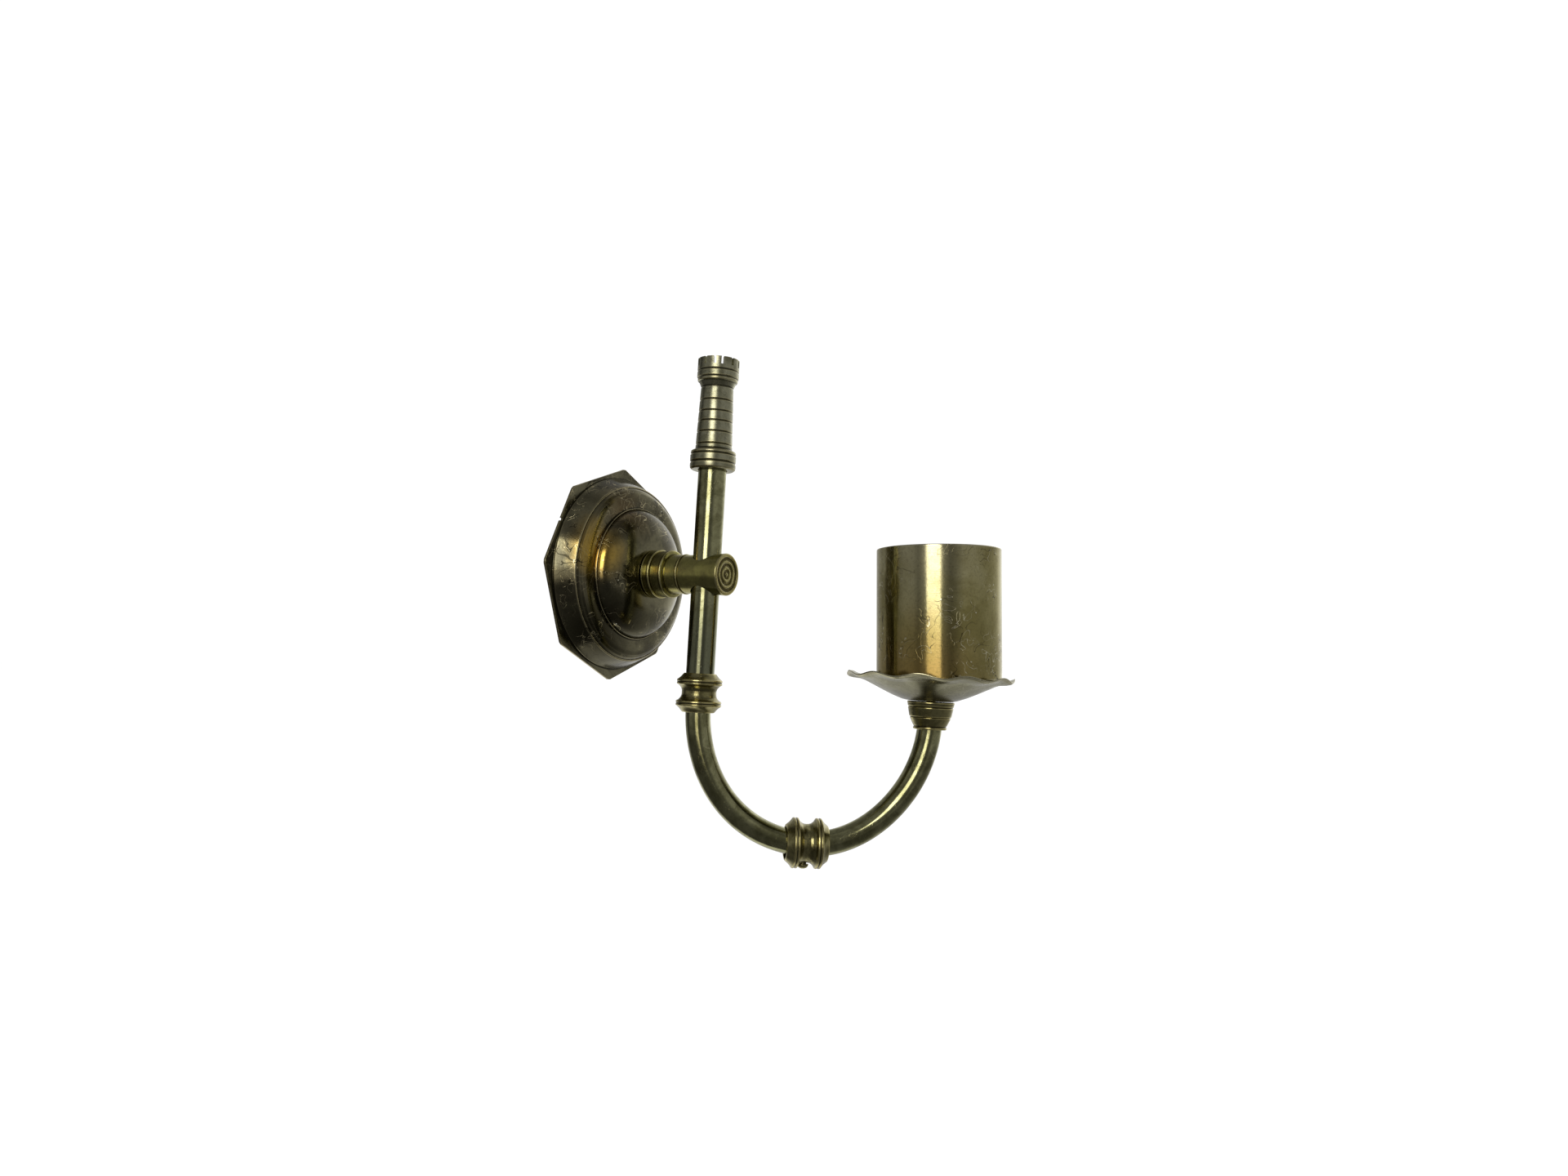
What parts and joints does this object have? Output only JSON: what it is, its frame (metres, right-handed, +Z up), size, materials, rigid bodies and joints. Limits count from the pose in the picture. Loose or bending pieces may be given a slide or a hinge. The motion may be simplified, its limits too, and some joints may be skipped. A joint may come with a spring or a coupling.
{
  "type": "wall sconce candle holder",
  "caption": "Swing-arm wall sconce for a pillar candle in antique brass: octagonal stepped rose, turned post and stem, tower finial, U-shaped arm, frilled drip pan and round cup.",
  "frame": {"origin": "centre of the octagonal rose's back face, on the wall plane", "axes": "+Y is the outward normal of the back face, into the wall; -Y points out into the room; +Z is up along the stem"},
  "size_m": [0.1448, 0.1625, 0.2132],
  "materials": {
    "rose_brass": "cast and lathe-finished brass with a dark brown patina",
    "turned_brass": "turned brass, antique patina, brighter on the edges",
    "tube_brass": "drawn brass tube, olive antique patina",
    "finial_brass": "turned brass, olive antique patina, dark in the grooves",
    "cup_brass": "spun brass, fine turning lines and scratches",
    "pan_brass": "spun brass sheet, grey-olive patina",
    "plain_brass": "plain brass, dulled",
    "zinc_steel": "zinc-plated steel"
  },
  "bodies": {
    "wall_mount": {"rose": "rose_brass", "hanging_strap": "zinc_steel", "strap_screw_upper": "zinc_steel", "strap_screw_lower": "zinc_steel", "post_collar": "turned_brass", "post": "turned_brass", "post_washer": "zinc_steel", "post_nut": "zinc_steel", "clamp_screw": "zinc_steel"},
    "arm": {"stem_tube": "tube_brass", "finial": "finial_brass", "finial_stud": "plain_brass", "mid_knop": "turned_brass", "mid_nipple": "plain_brass", "inner_arm_tube": "tube_brass", "outer_arm_tube": "tube_brass", "bottom_knop": "turned_brass", "bottom_nipple": "plain_brass", "knop_lock_screw": "plain_brass", "neck_ferrule": "turned_brass", "drip_pan": "pan_brass", "cup_riser": "plain_brass", "candle_cup": "cup_brass", "cup_washer": "plain_brass", "cup_screw": "plain_brass"}
  },
  "joints": [
    {"name": "arm_swivel", "type": "hinge", "parent": "wall_mount", "child": "arm", "pos_m": [0, -0.0489, 0], "axis": [0, 0, 1], "range_deg": [-133.5, 56.5]}
  ]
}
